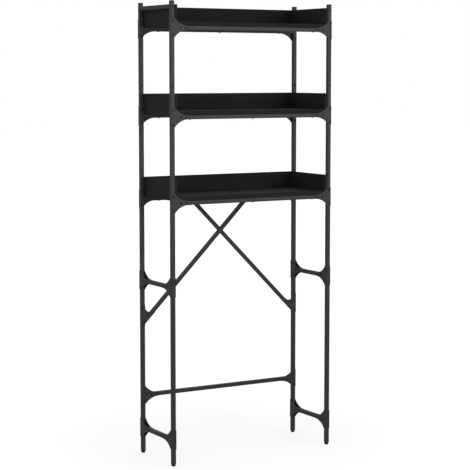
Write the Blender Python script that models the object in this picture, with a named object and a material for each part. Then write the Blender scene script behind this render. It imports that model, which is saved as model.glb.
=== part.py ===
"""Over the toilet storage rack: a powder coated square tube frame with three black shelf trays.

Metres, +Z up, -Y is the open front. The origin is on the floor, midway between the four posts.
"""

import math

import bmesh
import bpy
from mathutils import Vector

# Overall size
WIDTH = 0.696
DEPTH = 0.260
HEIGHT = 1.710

# Square steel tube, used for the posts and for every bar
TUBE = 0.015
TUBE_WALL = 0.0012
TUBE_CORNER = 0.0015
HALF = TUBE / 2

# Clearance between touching pieces, and how far welded pieces run into each other
GAP = 0.0003
WELD_OVERLAP = 0.0001

# Post centres
POST_X = WIDTH / 2 - HALF
POST_Y = DEPTH / 2 - HALF
SPAN_X = 2 * (POST_X - HALF - GAP)
SPAN_Y = 2 * (POST_Y - HALF - GAP)

# Each post is two lengths of tube, joined over an inner sleeve
POST_SEAM = 1.388
SLEEVE_LENGTH = 0.080

# Square plugs inside the tubes: the sleeves, and the stems of the end caps and feet
PLUG_WIDTH = TUBE - 2 * TUBE_WALL - 2 * GAP
PLUG_TIP = 0.011
PLUG_CORNER = 0.0012
PLUG_LENGTH = 0.018
PLUG_TAPER = 0.003

CAP_HEIGHT = 0.003
CAP_EDGE = 0.001

# Feet: a round glide below a thin flange that the tube stands on
FOOT_HEIGHT = 0.008
FLANGE = 0.001
GLIDE_DIAMETER = TUBE
GLIDE_EDGE = 0.0015
GLIDE_EDGE_STEPS = 3
FOOT_CORNER_STEPS = 5

# Shelf trays: the height of each tier's rails, and the boards above them
TIERS = {"bottom": 0.9765, "middle": 1.2892, "top": 1.6125}
FLOOR_BOARD = 0.015
SIDE_BOARD = 0.012
TRAY_TOP = 0.0838
BOARD_EDGE = 0.0006
BOARD_SETBACK = 0.0005

# Corner plates flare from the width of a bar to the height of a post joint
PLATE = 0.0015
CHEEK = 0.0012
PLATE_HALF_HEIGHT = 0.0365
PLATE_LENGTH = 0.066
FLARE_RADIUS = 0.070
FLARE_END = 0.063
FLARE_STEPS = 10

# Bars that carry welded plates are a little deeper than a post, so that the plates clear it
BAR_DEPTH = TUBE + 2 * (GAP + WELD_OVERLAP)

# Heights of the other bars
TOP_RAIL_Z = 1.6888
SIDE_BARS = {"upper": 0.6674, "lower": 0.0995}
REAR_BAR_Z = 0.2247

# Rear cross brace, at 45 degrees, of slightly narrower tube
BRACE_WIDTH = 0.013
BRACE_CROSSING_Z = 0.8416
BRACE_PLATE_TOP = 0.572
BRACE_PLATE_BOTTOM = 0.4925
BRACE_PLATE_REACH = 0.0467
BRACE_FILLET_TOP = 0.5645
BRACE_FILLET_STEPS = 8

SIDES = {"left": -1, "right": 1}
ENDS = {"front": -1, "rear": 1}


def make_material(name, colour, roughness, metallic):
    material = bpy.data.materials.new(name)
    material.use_nodes = True
    shader = material.node_tree.nodes["Principled BSDF"]
    shader.inputs["Base Color"].default_value = (*colour, 1.0)
    shader.inputs["Roughness"].default_value = roughness
    shader.inputs["Metallic"].default_value = metallic
    material.diffuse_color = (*colour, 1.0)
    return material


def add_object(name, bm, material, parent, location=(0, 0, 0), rotation_z=0.0):
    """Put a finished bmesh into the scene as one named piece."""
    bmesh.ops.recalc_face_normals(bm, faces=bm.faces)
    mesh = bpy.data.meshes.new(name)
    bm.to_mesh(mesh)
    bm.free()
    mesh.materials.append(material)
    obj = bpy.data.objects.new(name, mesh)
    obj.location = location
    obj.rotation_euler.z = rotation_z
    obj.parent = parent
    bpy.context.scene.collection.objects.link(obj)
    return obj


def fuse(obj, other):
    """Weld another solid to a piece; the other solid is only a guide."""
    other.hide_render = True
    other.display_type = "WIRE"
    weld = obj.modifiers.new(other.name, "BOOLEAN")
    weld.operation = "UNION"
    weld.object = other


def rounded_square(width, height, radius, steps=3):
    """Points of a rectangle with round corners, anticlockwise."""
    points = []
    for quarter, (sx, sy) in enumerate(((1, 1), (-1, 1), (-1, -1), (1, -1))):
        centre = Vector((sx * (width / 2 - radius), sy * (height / 2 - radius)))
        for step in range(steps + 1):
            angle = math.radians(90) * (quarter + step / steps)
            points.append(centre + radius * Vector((math.cos(angle), math.sin(angle))))
    return points


def prism(outline, low, high, place):
    """A closed solid: an outline of (a, b) points, extruded from low to high.

    place turns (a, b, height) into a point of the piece.
    """
    bm = bmesh.new()
    base = bm.faces.new([bm.verts.new(place(a, b, low)) for a, b in outline])
    extruded = bmesh.ops.extrude_face_region(bm, geom=[base])
    top = [item for item in extruded["geom"] if isinstance(item, bmesh.types.BMVert)]
    shift = Vector(place(0, 0, high)) - Vector(place(0, 0, low))
    bmesh.ops.translate(bm, verts=top, vec=shift)
    return bm


def block(size, centre, edge):
    """A rectangular board with its edges taken off."""
    bm = bmesh.new()
    bmesh.ops.create_cube(bm, size=1.0)
    bmesh.ops.scale(bm, vec=size, verts=bm.verts)
    bmesh.ops.translate(bm, vec=centre, verts=bm.verts)
    bmesh.ops.bevel(bm, geom=bm.edges[:], offset=edge, segments=1, affect="EDGES")
    return bm


def hollow_bar(start, end, section, start_normal=None, end_normal=None):
    """A square tube from start to end, open at both ends and cut off along the given planes.

    section is the width and height of the tube across its run. Its height is measured along Z,
    or along X where the tube itself stands upright.
    """
    start, end = Vector(start), Vector(end)
    run = (end - start).normalized()
    up = Vector((1, 0, 0)) if start.xy == end.xy else Vector((0, 0, 1))
    across = run.cross(up).normalized()
    up = across.cross(run).normalized()
    width, height = section
    outer = rounded_square(width, height, TUBE_CORNER)
    inner = rounded_square(
        width - 2 * TUBE_WALL, height - 2 * TUBE_WALL, TUBE_CORNER - TUBE_WALL
    )
    bm = bmesh.new()
    rings = []
    for origin, normal in ((start, start_normal), (end, end_normal)):
        plane = Vector(normal) if normal else run
        for loop in (outer, inner):
            ring = []
            for a, b in loop:
                point = origin + across * a + up * b
                slide = (origin - point).dot(plane) / run.dot(plane)
                ring.append(bm.verts.new(point + run * slide))
            rings.append(ring)
    outer_start, inner_start, outer_end, inner_end = rings
    for first, second in (
        (outer_start, outer_end),
        (inner_end, inner_start),
        (inner_start, outer_start),
        (outer_end, inner_end),
    ):
        for i, vertex in enumerate(first):
            j = (i + 1) % len(first)
            bm.faces.new((vertex, first[j], second[j], second[i]))
    return bm


def loft(rings):
    """A closed solid through matching rings of points, from the bottom up."""
    bm = bmesh.new()
    loops = [[bm.verts.new(point) for point in ring] for ring in rings]
    for low, high in zip(loops, loops[1:]):
        for i, vertex in enumerate(low):
            j = (i + 1) % len(low)
            bm.faces.new((vertex, low[j], high[j], high[i]))
    bm.faces.new(loops[0][::-1])
    bm.faces.new(loops[-1])
    return bm


def square_ring(width, radius, z, steps=3):
    return [(a, b, z) for a, b in rounded_square(width, width, radius, steps)]


def round_ring(diameter, z, steps):
    """A circle with as many points as a square ring with that many steps to a corner."""
    count = 4 * (steps + 1)
    angles = [math.tau * (i + 0.5) / count for i in range(count)]
    return [(diameter / 2 * math.cos(a), diameter / 2 * math.sin(a), z) for a in angles]


def flare_outline():
    """Outline of a corner plate, with u along the bar from the post's centre and v up.

    Two arcs run from the ends of the post joint to the edges of the bar, which they meet smoothly.
    """
    widest = HALF + FLARE_RADIUS
    sweep_end = math.acos((widest - PLATE_HALF_HEIGHT) / FLARE_RADIUS)
    arc = []
    for step in range(FLARE_STEPS + 1):
        angle = sweep_end * (1 - step / FLARE_STEPS)
        u = FLARE_END - FLARE_RADIUS * math.sin(angle)
        arc.append((u, widest - FLARE_RADIUS * math.cos(angle)))
    upper = [(-HALF, PLATE_HALF_HEIGHT), *arc, (PLATE_LENGTH, HALF)]
    lower = [(u, -v) for u, v in reversed(upper)]
    return upper + lower


def build_posts(root, steel, plastic):
    tube_bottom = FOOT_HEIGHT
    tube_top = HEIGHT - CAP_HEIGHT - GAP
    for end, sy in ENDS.items():
        for side, sx in SIDES.items():
            corner = f"{end}_{side}"
            spot = (sx * POST_X, sy * POST_Y, 0)
            section = (TUBE, TUBE)
            lower = hollow_bar((0, 0, tube_bottom + GAP), (0, 0, POST_SEAM - GAP / 2), section)
            add_object(f"post_lower_{corner}", lower, steel, root, spot)
            upper = hollow_bar((0, 0, POST_SEAM + GAP / 2), (0, 0, tube_top), section)
            add_object(f"post_upper_{corner}", upper, steel, root, spot)
            add_object(f"post_sleeve_{corner}", sleeve(), plastic, root, spot)
            add_object(f"post_cap_{corner}", cap(), plastic, root, spot)
            add_object(f"foot_{corner}", foot(), plastic, root, spot)


def sleeve():
    """The square plug inside the tube that joins the two lengths of a post."""
    low = POST_SEAM - SLEEVE_LENGTH / 2
    high = POST_SEAM + SLEEVE_LENGTH / 2
    return loft([
        square_ring(PLUG_TIP, PLUG_CORNER, low),
        square_ring(PLUG_WIDTH, PLUG_CORNER, low + PLUG_TAPER),
        square_ring(PLUG_WIDTH, PLUG_CORNER, high - PLUG_TAPER),
        square_ring(PLUG_TIP, PLUG_CORNER, high),
    ])


def cap():
    """The end cap: a flat head that covers the tube, and a plug inside it."""
    head = HEIGHT - CAP_HEIGHT
    tip = head - PLUG_LENGTH
    return loft([
        square_ring(PLUG_TIP, PLUG_CORNER, tip),
        square_ring(PLUG_WIDTH, PLUG_CORNER, tip + PLUG_TAPER),
        square_ring(PLUG_WIDTH, PLUG_CORNER, head),
        square_ring(TUBE, TUBE_CORNER, head),
        square_ring(TUBE, TUBE_CORNER, HEIGHT - CAP_EDGE),
        square_ring(TUBE - 2 * CAP_EDGE, CAP_EDGE, HEIGHT),
    ])


def foot():
    """The foot: a round glide on the floor, a square flange under the tube, and a plug inside it."""
    rings = []
    for step in range(GLIDE_EDGE_STEPS + 1):
        angle = math.radians(90) * step / GLIDE_EDGE_STEPS
        inset = GLIDE_EDGE * (1 - math.sin(angle))
        z = GLIDE_EDGE * (1 - math.cos(angle))
        rings.append(round_ring(GLIDE_DIAMETER - 2 * inset, z, FOOT_CORNER_STEPS))
    glide_top = FOOT_HEIGHT - FLANGE
    rings.append(round_ring(GLIDE_DIAMETER, glide_top, FOOT_CORNER_STEPS))
    tip = FOOT_HEIGHT + PLUG_LENGTH
    for width, corner, z in (
        (TUBE, TUBE_CORNER, glide_top),
        (TUBE, TUBE_CORNER, FOOT_HEIGHT),
        (PLUG_WIDTH, PLUG_CORNER, FOOT_HEIGHT),
        (PLUG_WIDTH, PLUG_CORNER, tip - PLUG_TAPER),
        (PLUG_TIP, PLUG_CORNER, tip),
    ):
        rings.append(square_ring(width, corner, z, FOOT_CORNER_STEPS))
    return loft(rings)


def build_tier(root, tier, z, steel, board):
    """One shelf: two rails, four corner plates and the four boards of the tray."""
    for end, sy in ENDS.items():
        rail = hollow_bar(
            (-SPAN_X / 2, sy * POST_Y, z), (SPAN_X / 2, sy * POST_Y, z), (TUBE, TUBE)
        )
        add_object(f"{end}_rail_{tier}", rail, steel, root)
        for side, sx in SIDES.items():
            inner = sy * (DEPTH / 2 + GAP)
            outer = inner + sy * PLATE
            plate = prism(flare_outline(), inner, outer, lambda u, v, y: (-sx * u, y, v))
            name = f"{end}_plate_{tier}_{side}"
            add_object(name, plate, steel, root, (sx * POST_X, 0, z))

    rail_top = z + HALF + GAP
    tray_top = z + TRAY_TOP
    inside_x = SPAN_X / 2 - SIDE_BOARD
    front_y = -DEPTH / 2 + BOARD_SETBACK
    back_y = DEPTH / 2 - BOARD_SETBACK
    inside_y = back_y - SIDE_BOARD

    def add_board(name, low, high):
        size = [b - a for a, b in zip(low, high)]
        centre = [(a + b) / 2 for a, b in zip(low, high)]
        add_object(name, block(size, centre, BOARD_EDGE), board, root)

    add_board(
        f"shelf_board_{tier}",
        (-inside_x + GAP, front_y, rail_top),
        (inside_x - GAP, inside_y - GAP, rail_top + FLOOR_BOARD),
    )
    add_board(
        f"back_board_{tier}",
        (-inside_x + GAP, inside_y, rail_top),
        (inside_x - GAP, back_y, tray_top),
    )
    for side, sx in SIDES.items():
        near, far = sorted((sx * inside_x, sx * SPAN_X / 2))
        add_board(f"side_board_{tier}_{side}", (near, front_y, rail_top), (far, back_y, tray_top))


def build_top_rails(root, steel):
    for side, sx in SIDES.items():
        x = sx * POST_X
        rail = hollow_bar((x, -SPAN_Y / 2, TOP_RAIL_Z), (x, SPAN_Y / 2, TOP_RAIL_Z), (TUBE, TUBE))
        add_object(f"top_side_rail_{side}", rail, steel, root)


def build_side_bars(root, steel):
    """The crossbars low on each side, whose forked ends clasp a post between two cheeks."""
    inner = HALF + GAP
    for side, sx in SIDES.items():
        for level, z in SIDE_BARS.items():
            spot = (sx * POST_X, 0, z)
            name = f"side_bar_{side}_{level}"
            bar = hollow_bar((0, -SPAN_Y / 2, 0), (0, SPAN_Y / 2, 0), (BAR_DEPTH, TUBE))
            obj = add_object(name, bar, steel, root, spot)
            for end, sy in ENDS.items():
                for face in (-1, 1):
                    cheek = prism(
                        flare_outline(),
                        face * inner,
                        face * (inner + CHEEK),
                        lambda u, v, x: (x, sy * (POST_Y - u), v),
                    )
                    guide = f"{name}_cheek_{end}_{'inner' if face * sx < 0 else 'outer'}"
                    fuse(obj, add_object(guide, cheek, steel, root, spot))


def build_rear_bar(root, steel):
    """The low rear crossbar, with a flared plate on the front of each post."""
    spot = (0, POST_Y, REAR_BAR_Z)
    bar = hollow_bar((-SPAN_X / 2, 0, 0), (SPAN_X / 2, 0, 0), (BAR_DEPTH, TUBE))
    obj = add_object("rear_crossbar", bar, steel, root, spot)
    near = -(HALF + GAP)
    for side, sx in SIDES.items():
        plate = prism(
            flare_outline(), near - PLATE, near, lambda u, v, y: (sx * (POST_X - u), y, v)
        )
        fuse(obj, add_object(f"rear_crossbar_plate_{side}", plate, steel, root, spot))


def brace_plate_outline():
    """Plate at the foot of a brace bar, seen from the front on the left side.

    It covers the post, follows the underside of the bar, and returns to the post in a round
    fillet that is tangent to both, and so turns through 135 degrees.
    """
    bar_edge = BRACE_WIDTH / 2 * math.sqrt(2)
    post_edge = -POST_X + HALF
    upper_line = BRACE_CROSSING_Z + bar_edge
    lower_line = BRACE_CROSSING_Z - bar_edge
    radius = (BRACE_FILLET_TOP - post_edge - upper_line) / (1 + math.sqrt(2))
    centre = Vector((post_edge + radius, BRACE_FILLET_TOP))
    fillet = []
    for step in range(BRACE_FILLET_STEPS + 1):
        angle = math.radians(180 + 135 * step / BRACE_FILLET_STEPS)
        fillet.append(centre + radius * Vector((math.cos(angle), math.sin(angle))))
    reach = Vector((-POST_X + BRACE_PLATE_REACH, BRACE_CROSSING_Z - POST_X + BRACE_PLATE_REACH))
    across = BRACE_WIDTH / 2 * Vector((1, -1)).normalized()
    return [
        (-POST_X - HALF, BRACE_PLATE_BOTTOM),
        (post_edge, BRACE_PLATE_BOTTOM),
        (post_edge, lower_line + post_edge),
        tuple(reach + across),
        tuple(reach - across),
        *[tuple(point) for point in reversed(fillet)],
        (post_edge, BRACE_PLATE_TOP),
        (-POST_X - HALF, BRACE_PLATE_TOP),
    ]


def build_brace(root, steel):
    """The rear cross: one full bar, and two short bars that meet it at the middle."""
    post_face = SPAN_X / 2
    foot_z = BRACE_CROSSING_Z - post_face
    rail_bottom = TIERS["bottom"] - HALF - GAP
    top_x = rail_bottom - BRACE_CROSSING_Z
    middle = (BRACE_WIDTH / 2 + GAP) / math.sqrt(2)
    section = (BAR_DEPTH, BRACE_WIDTH)
    wall = (1, 0, 0)
    level = (0, 0, 1)

    long_bar = hollow_bar((-post_face, 0, foot_z), (top_x, 0, rail_bottom), section, wall, level)
    long_bar = add_object("brace_long_bar", long_bar, steel, root, (0, POST_Y, 0))
    lower_bar = hollow_bar(
        (post_face, 0, foot_z), (middle, 0, BRACE_CROSSING_Z - middle), section, wall
    )
    lower_bar = add_object("brace_short_bar_lower", lower_bar, steel, root, (0, POST_Y, 0))
    upper_bar = hollow_bar(
        (-middle, 0, BRACE_CROSSING_Z + middle), (-top_x, 0, rail_bottom), section, None, level
    )
    add_object("brace_short_bar_upper", upper_bar, steel, root, (0, POST_Y, 0))

    near = -(HALF + GAP)
    for bar, sx in ((long_bar, 1), (lower_bar, -1)):
        plate = prism(brace_plate_outline(), near - PLATE, near, lambda x, z, y: (sx * x, y, z))
        fuse(bar, add_object(f"{bar.name}_plate", plate, steel, root, (0, POST_Y, 0)))


def main():
    for obj in list(bpy.data.objects):
        bpy.data.objects.remove(obj)

    steel = make_material("powder_coated_steel", (0.038, 0.039, 0.039), 0.48, 0.0)
    board = make_material("black_board", (0.014, 0.014, 0.014), 0.68, 0.0)
    plastic = make_material("black_plastic", (0.007, 0.007, 0.007), 0.48, 0.0)

    root = bpy.data.objects.new("rack", None)
    bpy.context.scene.collection.objects.link(root)

    build_posts(root, steel, plastic)
    for tier, z in TIERS.items():
        build_tier(root, tier, z, steel, board)
    build_top_rails(root, steel)
    build_side_bars(root, steel)
    build_rear_bar(root, steel)
    build_brace(root, steel)


main()
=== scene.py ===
"""Over the toilet storage rack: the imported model's finishes and screws, with a floor, lights and camera.

Metres, +Z up, -Y is the open front of the rack.
"""

import math

import bmesh
import bpy
from mathutils import Matrix, Vector


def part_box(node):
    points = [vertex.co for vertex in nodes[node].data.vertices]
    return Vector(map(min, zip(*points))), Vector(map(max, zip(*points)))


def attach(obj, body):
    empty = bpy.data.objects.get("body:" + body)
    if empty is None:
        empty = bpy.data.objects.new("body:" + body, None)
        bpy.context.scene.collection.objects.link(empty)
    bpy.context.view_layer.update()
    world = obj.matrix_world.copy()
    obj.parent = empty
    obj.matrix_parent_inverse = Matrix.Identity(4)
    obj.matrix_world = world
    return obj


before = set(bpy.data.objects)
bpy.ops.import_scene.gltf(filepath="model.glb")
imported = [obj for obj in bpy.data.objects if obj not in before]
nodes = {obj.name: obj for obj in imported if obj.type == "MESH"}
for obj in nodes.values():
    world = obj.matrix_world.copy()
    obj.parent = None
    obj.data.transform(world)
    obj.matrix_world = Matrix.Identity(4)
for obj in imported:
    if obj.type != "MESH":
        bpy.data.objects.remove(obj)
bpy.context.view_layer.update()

SIDES = ("left", "right")
ENDS = ("front", "rear")
TIERS = ("bottom", "middle", "top")

# Edges of the CAD pieces are rounded by this much, so that they catch the light
EDGE_WIDTH = {"steel": 0.0003, "board": 0.0006, "plastic": 0.0003}
EDGE_ANGLE = math.radians(40)
FLAT_ANGLE = math.radians(0.5)
WELD_DISTANCE = 0.00001

# Edges of the screws and nuts sharper than this are shaded as creases
SHARP_ANGLE = math.radians(38)

# Button head screws with a hexagon socket. The head is a dome, cut off between two angles
HEAD_RADIUS = 0.0039
HEAD_HEIGHT = 0.0021
HEAD_SEAT_RADIUS = 0.97 * HEAD_RADIUS
DOME_START = math.radians(8)
DOME_END = math.radians(70)
DOME_STEPS = 5
SOCKET_RADIUS = 0.0016
SOCKET_DEPTH = 0.0012
SOCKET_RIM_RADIUS = 1.32 * SOCKET_RADIUS
SOCKET_MOUTH_RADIUS = 1.06 * SOCKET_RADIUS
SOCKET_CHAMFER = 0.0001
SHANK_RADIUS = 0.0019
SHANK_LENGTH = 0.0060
SHANK_TIP_RADIUS = 0.7 * SHANK_RADIUS
SHANK_TIP_Z = -0.9 * SHANK_LENGTH
SCREW_STEPS = 24
SCREW_TURN = 0.7

# Cap nuts on the other end of the screws that go through a post
NUT_RADIUS = 0.0040
NUT_HEIGHT = 0.0026
NUT_COLLAR = 0.0002
NUT_DOME_RADIUS = 0.0032
NUT_DOME_END = math.radians(85)
NUT_DOME_STEPS = 6

# Screw places on a corner plate: along the bar from the post's centre, and up from the bar
POST_SCREW_RISE = 0.0255
BAR_SCREW_RUNS = (0.0312, 0.0556)

# Screw places on a brace plate: up from its lower edge on the post, and along the bar's axis, which
# leaves the post's centre at a rise of its own
BRACE_POST_RISES = (0.011, 0.0705)
BRACE_AXIS_RISE = 0.0086
BRACE_SCREW_RUN = 0.0556

SLEEVE_SCREW_Z = 1.402

# Screws up through each rail into the shelf board: one at the middle, and one this far to each side
BOARD_SCREW_X = 0.267

FLOOR_HALF_WIDTH = 30.0


def add_node(tree, kind, inputs=None, **settings):
    """A shader node, with its settings and its unlinked inputs, or links given as sockets."""
    node = tree.nodes.new(kind)
    for name, value in settings.items():
        setattr(node, name, value)
    for name, value in (inputs or {}).items():
        if isinstance(value, bpy.types.NodeSocket):
            tree.links.new(value, node.inputs[name])
        else:
            node.inputs[name].default_value = value
    return node


def grey(value):
    return (value, value, value, 1.0)


def ramp(tree, factor, low, high, stops=(0.3, 0.7)):
    """A colour between two others, as a noise runs from the first stop to the second."""
    node = add_node(tree, "ShaderNodeValToRGB", {"Fac": factor})
    for element, position, colour in zip(node.color_ramp.elements, stops, (low, high)):
        element.position = position
        element.color = colour
    return node.outputs["Color"]


def spread(tree, value, low, high):
    """Map a 0 to 1 noise onto low to high."""
    node = add_node(tree, "ShaderNodeMapRange", {"Value": value, "To Min": low, "To Max": high})
    return node.outputs["Result"]


def noise(tree, coordinates, scale, detail=2.0, roughness=0.5):
    inputs = {"Vector": coordinates, "Scale": scale, "Detail": detail, "Roughness": roughness}
    return add_node(tree, "ShaderNodeTexNoise", inputs).outputs["Fac"]


def multiply(tree, colour, other):
    node = add_node(tree, "ShaderNodeMix", data_type="RGBA", blend_type="MULTIPLY")
    node.inputs["Factor"].default_value = 1.0
    tree.links.new(colour, node.inputs["A"])
    tree.links.new(other, node.inputs["B"])
    return node.outputs["Result"]


def new_material(name):
    """A material with an empty tree, and its object coordinates and shader."""
    material = bpy.data.materials.new(name)
    material.use_nodes = True
    tree = material.node_tree
    shader = tree.nodes["Principled BSDF"]
    place = add_node(tree, "ShaderNodeTexCoord").outputs["Object"]
    return material, tree, shader, place


def bump(tree, height, distance, strength=1.0, normal=None):
    inputs = {"Height": height, "Distance": distance, "Strength": strength}
    if normal:
        inputs["Normal"] = normal
    return add_node(tree, "ShaderNodeBump", inputs).outputs["Normal"]


def powder_coat():
    """Fine textured charcoal powder coat over steel tube."""
    material, tree, shader, place = new_material("powder_coat")
    cloud = noise(tree, place, 7.0, 3.0)
    grain = noise(tree, place, 1400.0, 2.0, 0.6)
    peel = noise(tree, place, 320.0, 2.0)
    tint = ramp(tree, cloud, (0.0355, 0.0364, 0.0361, 1.0), (0.0405, 0.0415, 0.0412, 1.0))
    speck = ramp(tree, grain, grey(0.82), grey(1.14), (0.35, 0.68))
    tree.links.new(multiply(tree, tint, speck), shader.inputs["Base Color"])
    tree.links.new(spread(tree, peel, 0.42, 0.54), shader.inputs["Roughness"])
    rough = bump(tree, peel, 0.00006)
    tree.links.new(bump(tree, grain, 0.00005, 1.0, rough), shader.inputs["Normal"])
    shader.inputs["Specular IOR Level"].default_value = 0.45
    return material


def black_board(name, run):
    """Black laminated board: a faint pressed wood grain that runs along axis 0 or 1."""
    material, tree, shader, place = new_material(name)
    stretch = [90.0, 90.0, 90.0]
    stretch[run] = 4.0
    laid = add_node(tree, "ShaderNodeMapping", {"Vector": place, "Scale": stretch})
    fibre = noise(tree, laid.outputs["Vector"], 5.0, 5.0, 0.62)
    figure = noise(tree, laid.outputs["Vector"], 0.7, 3.0, 0.5)
    mottle = noise(tree, place, 900.0, 2.0)
    tint = ramp(tree, figure, (0.0118, 0.0121, 0.0120, 1.0), (0.0148, 0.0151, 0.0149, 1.0))
    streak = ramp(tree, fibre, grey(0.78), grey(1.16), (0.36, 0.66))
    tree.links.new(multiply(tree, tint, streak), shader.inputs["Base Color"])
    tree.links.new(spread(tree, fibre, 0.76, 0.62), shader.inputs["Roughness"])
    pressed = bump(tree, fibre, 0.00010)
    tree.links.new(bump(tree, mottle, 0.00002, 1.0, pressed), shader.inputs["Normal"])
    shader.inputs["Specular IOR Level"].default_value = 0.25
    return material


def moulded_plastic():
    """Black moulded nylon with a spark eroded texture, for caps, feet and sleeves."""
    material, tree, shader, place = new_material("moulded_plastic")
    eroded = noise(tree, place, 2600.0, 3.0, 0.6)
    flow = noise(tree, place, 60.0, 2.0)
    tint = ramp(tree, flow, (0.0050, 0.0050, 0.0053, 1.0), (0.0080, 0.0080, 0.0084, 1.0))
    tree.links.new(tint, shader.inputs["Base Color"])
    tree.links.new(spread(tree, eroded, 0.38, 0.56), shader.inputs["Roughness"])
    tree.links.new(bump(tree, eroded, 0.00004), shader.inputs["Normal"])
    shader.inputs["Specular IOR Level"].default_value = 0.25
    return material


def blackened_steel():
    """Black oxide on the screws, rubbed a little bare in places."""
    material, tree, shader, place = new_material("blackened_steel")
    worn = noise(tree, place, 700.0, 4.0, 0.65)
    turned = noise(tree, place, 2200.0, 2.0)
    black = (0.0140, 0.0140, 0.0145, 1.0)
    bare = (0.0500, 0.0490, 0.0480, 1.0)
    tint = ramp(tree, worn, black, bare, (0.4, 0.8))
    tree.links.new(tint, shader.inputs["Base Color"])
    tree.links.new(spread(tree, worn, 0.44, 0.30), shader.inputs["Roughness"])
    tree.links.new(bump(tree, turned, 0.00002), shader.inputs["Normal"])
    shader.inputs["Metallic"].default_value = 0.6
    return material


def glowing_floor():
    """A pale, matt studio floor with a painted glow, which brightens evenly away from the rack into the
    white backdrop, so the floor is painted a little darker round the rack.
    """
    material, tree, shader, place = new_material("studio_floor")
    cloud = noise(tree, place, 1.5, 4.0)
    fine = noise(tree, place, 240.0, 2.0)
    tint = ramp(tree, cloud, grey(0.44), grey(0.46))
    tree.links.new(tint, shader.inputs["Base Color"])
    tree.links.new(bump(tree, fine, 0.00005), shader.inputs["Normal"])
    shader.inputs["Roughness"].default_value = 0.9
    shader.inputs["Specular IOR Level"].default_value = 0.1
    # Painted glow: the floor emits light of its own, weakest near the rack and strongest from 1.6 m out,
    # so it is painted a little darker round the rack.
    shader.inputs["Emission Color"].default_value = grey(1.0)
    reach = add_node(tree, "ShaderNodeVectorMath", {0: place}, operation="LENGTH").outputs["Value"]
    glow = add_node(
        tree,
        "ShaderNodeMapRange",
        {"Value": reach, "From Min": 0.3, "From Max": 1.6, "To Min": 0.71, "To Max": 0.84},
        interpolation_type="SMOOTHSTEP",
    )
    tree.links.new(glow.outputs["Result"], shader.inputs["Emission Strength"])
    return material


def round_edges(obj, width):
    """Join the mesh's split faces and round its hard edges, without changing the mesh itself."""
    for polygon in obj.data.polygons:
        polygon.use_smooth = True
    weld = obj.modifiers.new("join", "WELD")
    weld.merge_threshold = WELD_DISTANCE
    flat = obj.modifiers.new("flat_faces", "DECIMATE")
    flat.decimate_type = "DISSOLVE"
    flat.angle_limit = FLAT_ANGLE
    rounding = obj.modifiers.new("edges", "BEVEL")
    rounding.width = width
    rounding.segments = 2
    rounding.limit_method = "ANGLE"
    rounding.angle_limit = EDGE_ANGLE
    rounding.harden_normals = False
    normals = obj.modifiers.new("normals", "WEIGHTED_NORMAL")
    normals.mode = "FACE_AREA"
    normals.weight = 100


def set_material(obj, material):
    obj.data.materials.clear()
    obj.data.materials.append(material)


def dress_cad_nodes(steel, boards, plastic):
    for name, obj in nodes.items():
        if name.startswith(("post_sleeve", "post_cap", "foot")):
            set_material(obj, plastic)
            round_edges(obj, EDGE_WIDTH["plastic"])
        elif "board" in name:
            set_material(obj, boards["y" if name.startswith("side") else "x"])
            round_edges(obj, EDGE_WIDTH["board"])
        else:
            set_material(obj, steel)
            round_edges(obj, EDGE_WIDTH["steel"])


def screw_rings():
    """Profile of a screw about +Z, from the tip of the shank to the bottom of the socket."""
    rings = [
        (SHANK_TIP_RADIUS, -SHANK_LENGTH, False),
        (SHANK_RADIUS, SHANK_TIP_Z, False),
        (SHANK_RADIUS, 0.0, False),
        (HEAD_SEAT_RADIUS, 0.0, False),
    ]
    for step in range(DOME_STEPS):
        angle = DOME_START + (DOME_END - DOME_START) * step / DOME_STEPS
        lift = HEAD_HEIGHT * math.sin(angle) / math.sin(DOME_END)
        rings.append((HEAD_RADIUS * math.cos(angle) / math.cos(DOME_START), lift, False))
    rings += [
        (SOCKET_RIM_RADIUS, HEAD_HEIGHT, False),
        (SOCKET_MOUTH_RADIUS, HEAD_HEIGHT, True),
        (SOCKET_RADIUS, HEAD_HEIGHT - SOCKET_CHAMFER, True),
        (SOCKET_RADIUS, HEAD_HEIGHT - SOCKET_DEPTH, True),
    ]
    return rings


def nut_rings():
    """Profile of a cap nut about +Z, from its seat to the top of its dome."""
    rings = [(NUT_RADIUS, 0.0, True), (NUT_RADIUS, NUT_HEIGHT, True)]
    for step in range(NUT_DOME_STEPS + 1):
        angle = NUT_DOME_END * step / NUT_DOME_STEPS
        lift = NUT_HEIGHT + NUT_COLLAR + NUT_DOME_RADIUS * math.sin(angle)
        rings.append((NUT_DOME_RADIUS * math.cos(angle), lift, False))
    return rings


def ring_points(radius, height, hexagonal, turn):
    """A circle of points, or a hexagon with its corners at that radius."""
    points = []
    for step in range(SCREW_STEPS):
        angle = math.tau * step / SCREW_STEPS
        reach = radius
        if hexagonal:
            from_flat = (angle % math.radians(60)) - math.radians(30)
            reach = radius * math.cos(math.radians(30)) / math.cos(from_flat)
        x = reach * math.cos(angle + turn)
        y = reach * math.sin(angle + turn)
        points.append(Vector((x, y, height)))
    return points


def add_lathed(bm, rings, place, facing, turn):
    """One screw or nut on a surface at place, with its head towards facing."""
    to_surface = Matrix.Translation(place) @ facing.to_track_quat("Z", "Y").to_matrix().to_4x4()
    loops = []
    for radius, height, hexagonal in rings:
        points = ring_points(radius, height, hexagonal, turn)
        loops.append([bm.verts.new(to_surface @ point) for point in points])
    for low, high in zip(loops, loops[1:]):
        for i, vertex in enumerate(low):
            j = (i + 1) % SCREW_STEPS
            bm.faces.new((vertex, low[j], high[j], high[i]))
    bm.faces.new(loops[0][::-1])
    bm.faces.new(loops[-1])


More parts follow.
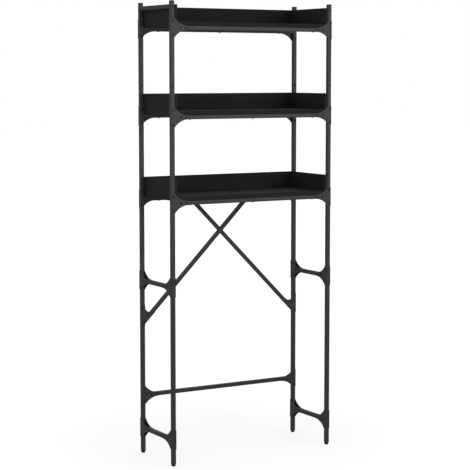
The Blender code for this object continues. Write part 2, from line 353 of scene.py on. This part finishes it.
def add_fixings(name, places, facing, material, rings=None):
    """The screws or nuts of one joint, as one piece, each turned to an angle of its own."""
    bm = bmesh.new()
    for index, place in enumerate(places):
        turn = SCREW_TURN * index + len(name)
        add_lathed(bm, rings or screw_rings(), Vector(place), Vector(facing), turn)
    mesh = bpy.data.meshes.new(name)
    bm.to_mesh(mesh)
    bm.free()
    for polygon in mesh.polygons:
        polygon.use_smooth = True
    mesh.set_sharp_from_angle(angle=SHARP_ANGLE)
    mesh.materials.append(material)
    obj = bpy.data.objects.new(name, mesh)
    bpy.context.scene.collection.objects.link(obj)
    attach(obj, "root")


def middle(node):
    """The centre of a piece's box."""
    low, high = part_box(node)
    return (low + high) / 2


def plate_screw_places(post, bar_z, toward, along):
    """Places on a corner plate: two on the post, and two on the bar, which runs along X or Y."""
    places = [(0, POST_SCREW_RISE), (0, -POST_SCREW_RISE)]
    places += [(run, 0) for run in BAR_SCREW_RUNS]
    points = []
    for run, rise in places:
        point = Vector((post.x, post.y, bar_z + rise))
        point[along] += toward * run
        points.append(point)
    return points


def add_board_screws(metal):
    """The screws that hold each shelf board, with their heads under its rails."""
    for tier in TIERS:
        for end in ENDS:
            rail = f"{end}_rail_{tier}"
            place = middle(rail)
            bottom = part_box(rail)[0].z
            points = [(x, place.y, bottom) for x in (-BOARD_SCREW_X, 0.0, BOARD_SCREW_X)]
            add_fixings(f"screws_{rail}", points, (0, 0, -1), metal)


def add_corner_screws(end, side, metal):
    """The screws and nuts of the corner plates, the sleeve and the top rail at one post."""
    front = end == "front"
    facing = Vector((0, -1 if front else 1, 0))
    toward = 1 if side == "left" else -1
    post_name = f"post_upper_{end}_{side}"
    post = middle(post_name)
    post_low, post_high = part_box(post_name)
    for tier in TIERS:
        plate_name = f"{end}_plate_{tier}_{side}"
        low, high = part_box(plate_name)
        points = plate_screw_places(post, (low.z + high.z) / 2, toward, 0)
        for point in points:
            point.y = low.y if front else high.y
        add_fixings(f"screws_{plate_name}", points, facing, metal)
        seats = points[:2]
        for point in seats:
            point.y = post_high.y if front else post_low.y
        add_fixings(f"nuts_{plate_name}", seats, -facing, metal, nut_rings())

    point = (post.x, post_low.y, SLEEVE_SCREW_Z)
    add_fixings(f"screw_sleeve_{end}_{side}", [point], (0, -1, 0), metal)
    rail = middle(f"top_side_rail_{side}")
    point = (post.x, post_low.y if front else post_high.y, rail.z)
    add_fixings(f"screw_top_rail_{end}_{side}", [point], facing, metal)


def add_side_bar_screws(side, level, metal):
    bar = f"side_bar_{side}_{level}"
    low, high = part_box(bar)
    for face, x, facing_x in (("left", low.x, -1), ("right", high.x, 1)):
        points = []
        for end in ENDS:
            post = middle(f"post_lower_{end}_{side}")
            toward = 1 if end == "front" else -1
            points += plate_screw_places(post, (low.z + high.z) / 2, toward, 1)
        for point in points:
            point.x = x
        add_fixings(f"screws_{bar}_{face}", points, (facing_x, 0, 0), metal)


def add_rear_screws(side, metal):
    """The screws of the rear crossbar and of the brace, on one rear post."""
    toward = 1 if side == "left" else -1
    post = middle(f"post_lower_rear_{side}")
    low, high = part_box("rear_crossbar")
    points = plate_screw_places(post, (low.z + high.z) / 2, toward, 0)
    for point in points:
        point.y = low.y
    add_fixings(f"screws_rear_crossbar_{side}", points, (0, -1, 0), metal)

    bar = "brace_long_bar" if side == "left" else "brace_short_bar_lower"
    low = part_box(bar)[0]
    points = [(post.x, low.y, low.z + rise) for rise in BRACE_POST_RISES]
    run = BRACE_SCREW_RUN * math.sin(math.radians(45))
    points.append((post.x + toward * run, low.y, low.z + BRACE_AXIS_RISE + run))
    add_fixings(f"screws_{bar}", points, (0, -1, 0), metal)


def add_all_screws(metal):
    for end in ENDS:
        for side in SIDES:
            add_corner_screws(end, side, metal)
    for side in SIDES:
        for level in ("upper", "lower"):
            add_side_bar_screws(side, level, metal)
        add_rear_screws(side, metal)
    add_board_screws(metal)


def add_floor(material):
    bm = bmesh.new()
    bmesh.ops.create_grid(bm, x_segments=4, y_segments=4, size=FLOOR_HALF_WIDTH)
    mesh = bpy.data.meshes.new("studio_floor")
    bm.to_mesh(mesh)
    bm.free()
    mesh.materials.append(material)
    floor = bpy.data.objects.new("studio_floor", mesh)
    floor.visible_diffuse = False
    floor.visible_glossy = False
    bpy.context.scene.collection.objects.link(floor)


def add_lamp(name, place, aim, size, power):
    lamp = bpy.data.lights.new(name, "AREA")
    lamp.shape = "RECTANGLE"
    lamp.size, lamp.size_y = size
    lamp.energy = power
    obj = bpy.data.objects.new(name, lamp)
    obj.location = place
    obj.rotation_euler = (Vector(aim) - Vector(place)).to_track_quat("-Z", "Y").to_euler()
    bpy.context.scene.collection.objects.link(obj)


def add_world(below, above, backdrop):
    """A pale studio: white where it shows behind the rack, and a fill light, dimmest from below."""
    world = bpy.data.worlds.new("studio")
    bpy.context.scene.world = world
    world.use_nodes = True
    tree = world.node_tree
    tree.nodes.clear()
    direction = add_node(tree, "ShaderNodeTexCoord").outputs["Generated"]
    height = add_node(tree, "ShaderNodeSeparateXYZ", {"Vector": direction}).outputs["Z"]
    limits = {"Value": height, "From Min": -1.0, "To Min": below, "To Max": above}
    strength = add_node(tree, "ShaderNodeMapRange", limits).outputs["Result"]
    fill = add_node(tree, "ShaderNodeBackground", {"Color": grey(1.0), "Strength": strength})
    seen = add_node(tree, "ShaderNodeBackground", {"Color": grey(1.0), "Strength": backdrop})
    path = add_node(tree, "ShaderNodeLightPath")
    mixed = add_node(tree, "ShaderNodeMixShader", {"Fac": path.outputs["Is Camera Ray"]})
    tree.links.new(fill.outputs["Background"], mixed.inputs[1])
    tree.links.new(seen.outputs["Background"], mixed.inputs[2])
    output = add_node(tree, "ShaderNodeOutputWorld")
    tree.links.new(mixed.outputs["Shader"], output.inputs["Surface"])


def add_camera():
    camera = bpy.data.cameras.new("camera")
    camera.lens = 119.38
    camera.sensor_width = 36.0
    obj = bpy.data.objects.new("camera", camera)
    obj.location = (-3.0185, -5.1139, 1.4470)
    obj.rotation_euler = (math.radians(90 - 5.906), 0, math.radians(-30.521))
    bpy.context.scene.collection.objects.link(obj)
    bpy.context.scene.camera = obj


dress_cad_nodes(
    powder_coat(),
    {"x": black_board("board_grain_along_x", 0), "y": black_board("board_grain_along_y", 1)},
    moulded_plastic(),
)
add_all_screws(blackened_steel())

add_floor(glowing_floor())
add_lamp("key", (1.1, -2.4, 1.6), (0, 0, 1.1), (1.4, 1.4), 16.2)
add_lamp("left", (-2.6, -1.6, 1.5), (0, 0, 1.2), (1.5, 1.5), 18)
add_world(below=0.18, above=0.54, backdrop=1.0)
add_camera()
bpy.context.scene.view_settings.view_transform = "Standard"
